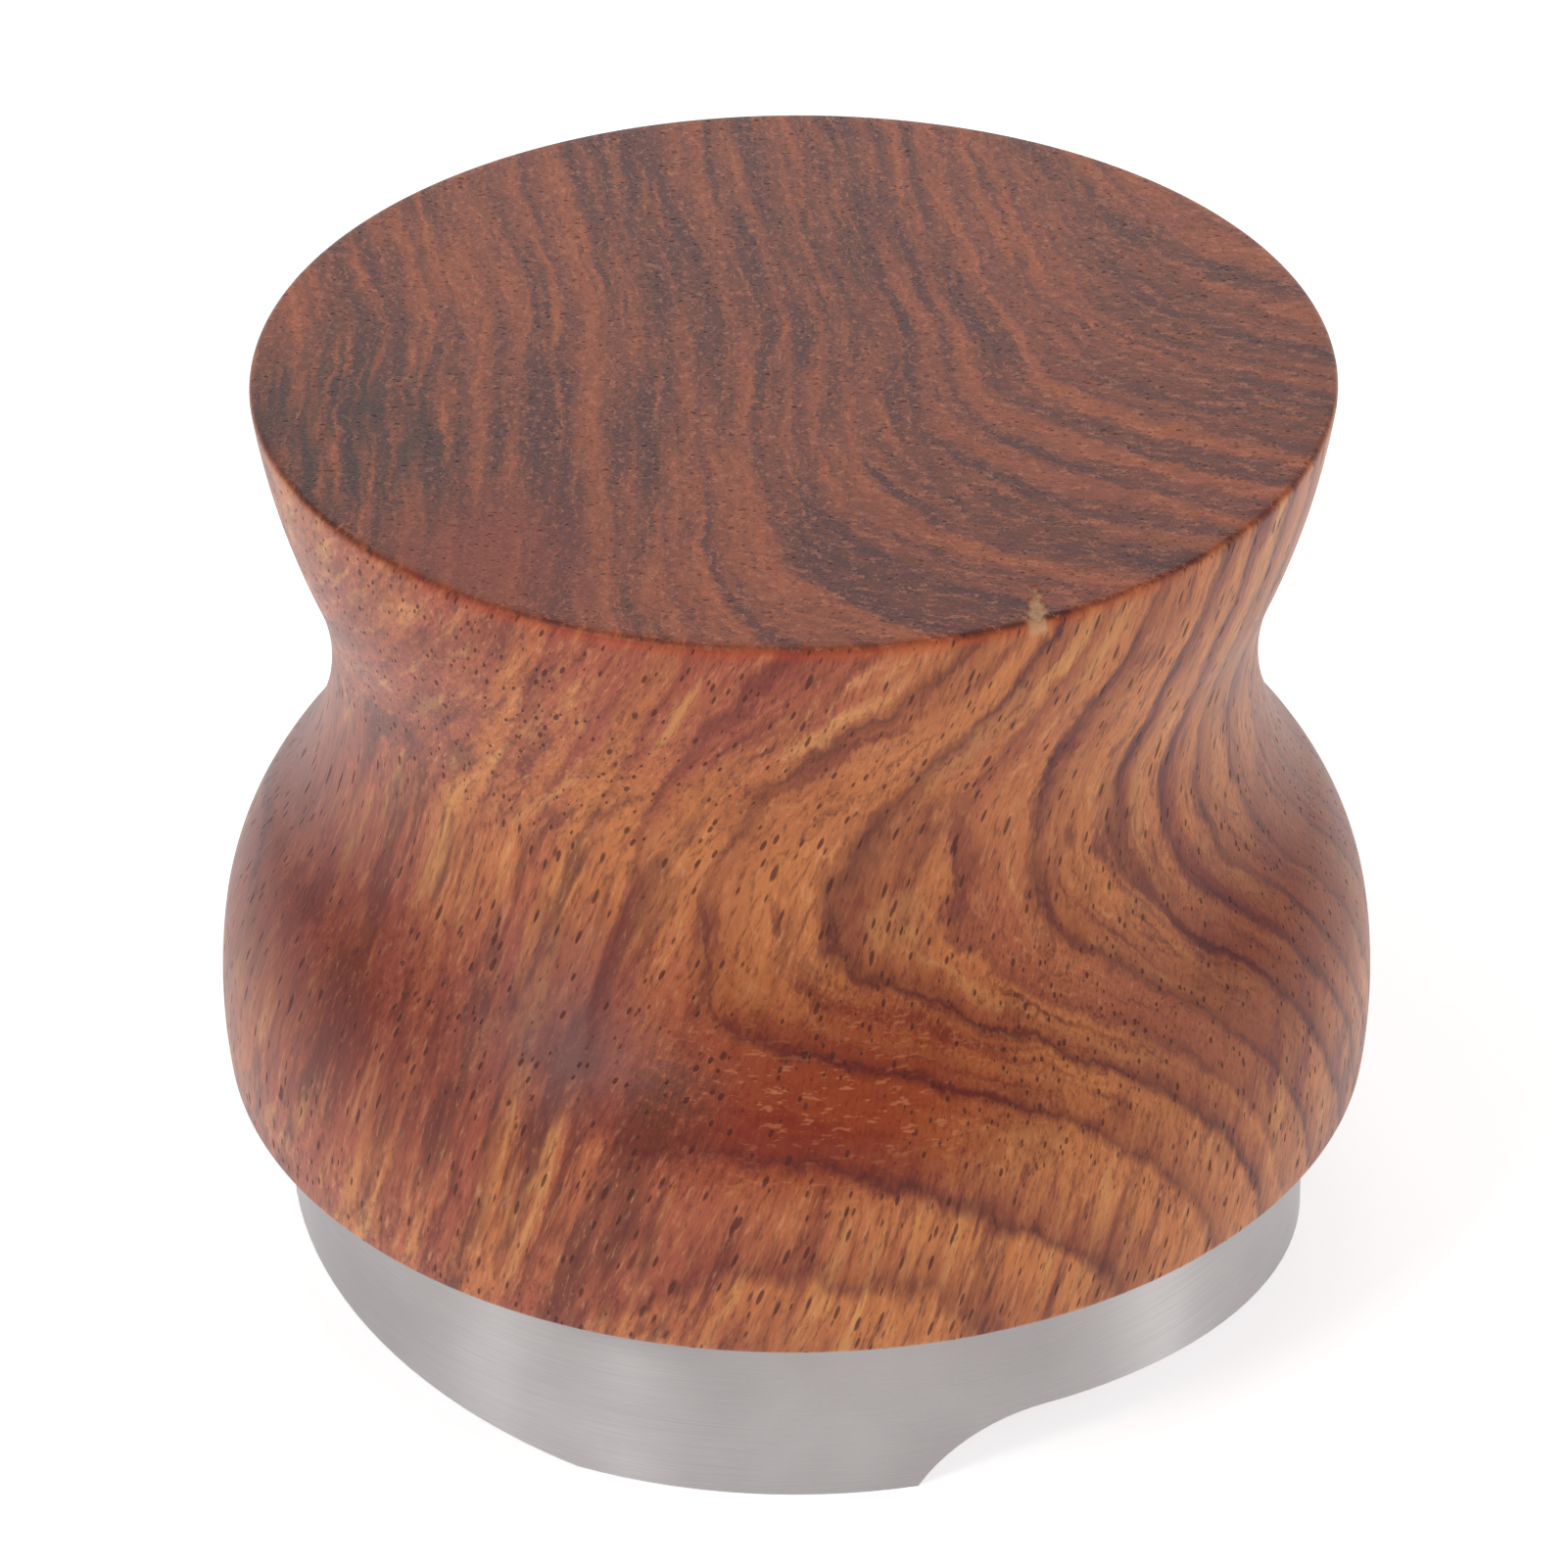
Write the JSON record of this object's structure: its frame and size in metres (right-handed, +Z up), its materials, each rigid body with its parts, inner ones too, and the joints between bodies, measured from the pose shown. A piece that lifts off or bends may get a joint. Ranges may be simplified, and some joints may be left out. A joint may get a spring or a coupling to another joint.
{
  "type": "coffee distributor",
  "caption": "Palm coffee distributor with a turned hardwood handle on a threaded, depth-adjustable steel foot with swept blades.",
  "frame": {"origin": "on the handle's axis, in the plane of the blades' lands, which the part stands on", "axes": "+Z up along the axis, -Y to the front, where one land meets its step 10 degrees towards +X"},
  "size_m": [0.065, 0.065, 0.0547],
  "materials": {
    "wood": "satin oiled figured hardwood, orange brown with dark purple-brown lines",
    "foot_steel": "fine satin, turned around the axis",
    "stem_steel": "machined",
    "insert_brass": "machined",
    "screw_zinc": "bright zinc plate",
    "spring_steel": "cold rolled",
    "shim_steel": "ground",
    "phosphated_steel": "black phosphate",
    "acetal": "machined natural acetal",
    "seal_rubber": "moulded"
  },
  "bodies": {
    "foot": {"distributor_foot": "foot_steel", "threaded_stem": "stem_steel", "stem_screws": "screw_zinc", "rim_seal": "seal_rubber"},
    "depth_follower": {"keyed_washer": "acetal"},
    "handle": {"wood_handle": "wood", "handle_insert": "insert_brass", "insert_screws": "screw_zinc", "wave_spring": "spring_steel", "shim_washer": "shim_steel", "snap_ring": "phosphated_steel"}
  },
  "joints": [
    {"name": "handle_rise", "type": "slide", "parent": "foot", "child": "depth_follower", "axis": [0, 0, 1], "range_m": [-0.003, 0.003]},
    {"name": "handle_turn", "type": "hinge", "parent": "depth_follower", "child": "handle", "pos_m": [0, 0, 0.03], "axis": [0, 0, 1], "range_deg": [-720, 720]}
  ],
  "couplings": [
    {"joint": "handle_rise", "follows": "handle_turn", "m_per_rad": 0.0002387}
  ]
}
